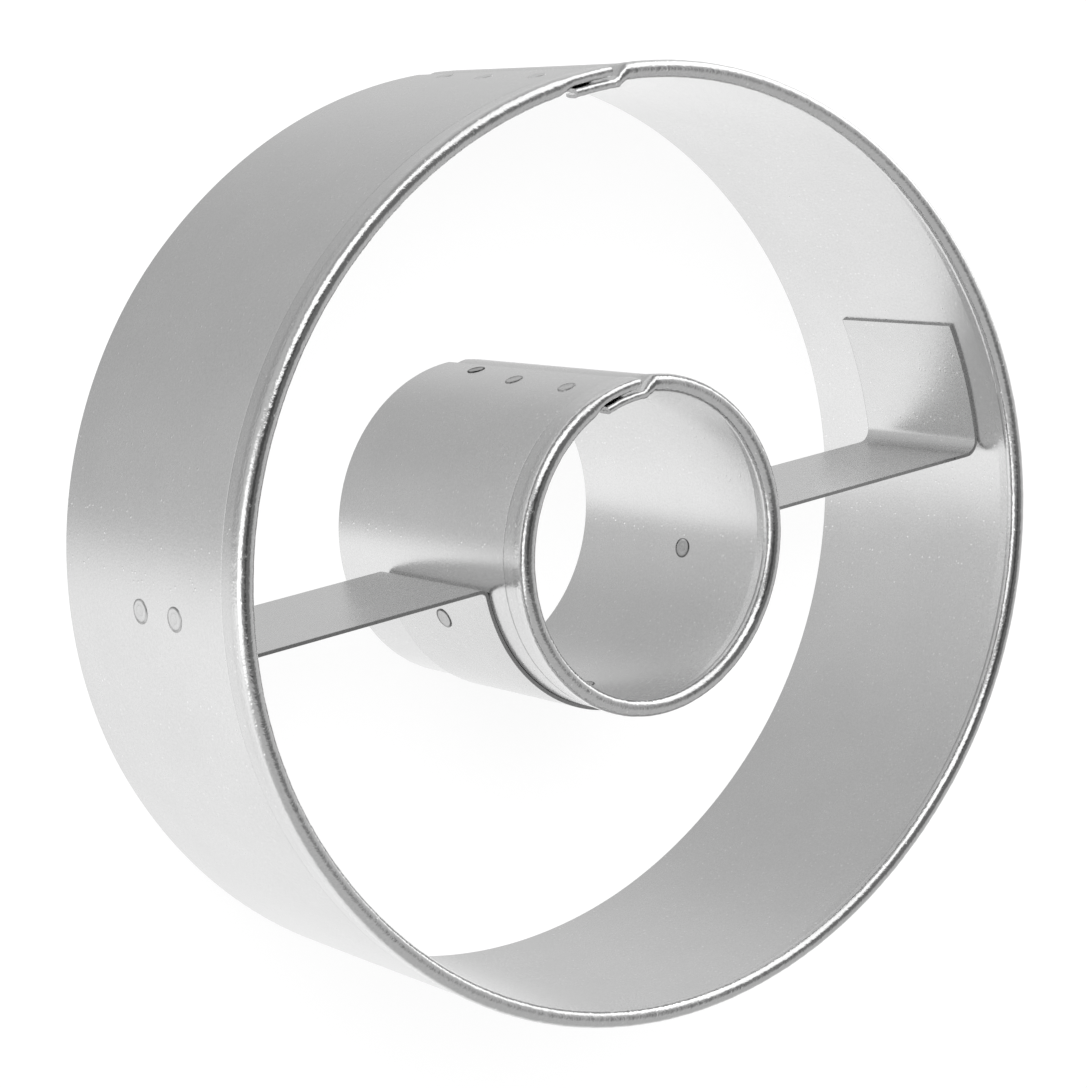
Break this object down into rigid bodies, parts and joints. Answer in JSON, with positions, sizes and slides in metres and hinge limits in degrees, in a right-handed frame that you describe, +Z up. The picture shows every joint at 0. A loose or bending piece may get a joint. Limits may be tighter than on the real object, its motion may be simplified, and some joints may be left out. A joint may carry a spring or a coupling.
{
  "type": "doughnut cutter",
  "caption": "Tinplate pastry cutter: a hoop with a rolled rim, and a smaller hoop carried in its middle by a flat bridge strap, that cuts rings of dough.",
  "frame": {"origin": "middle of the outer hoop, on the plane of the cutting edges", "axes": "+X along the bridge strap, +Y across it towards the tabs' free ends, +Z up from the cutting edges to the rolled rims"},
  "size_m": [0.0786, 0.0736, 0.0237],
  "materials": {
    "tinplate": "satin tin-plated steel sheet, fine grain, bright along the rolled rim",
    "strap_tinplate": "duller tin-plated steel strip with fine rolling marks along it",
    "weld": "grey spot weld marks, pressed in and slightly burnt"
  },
  "bodies": {
    "root": {"outer_hoop": "tinplate", "inner_hoop": "tinplate", "bridge_strap": "strap_tinplate", "outer_seam_welds": "weld", "inner_seam_welds": "weld", "left_tab_welds": "weld", "right_tab_welds": "weld", "cradle_welds": "weld"}
  },
  "joints": []
}
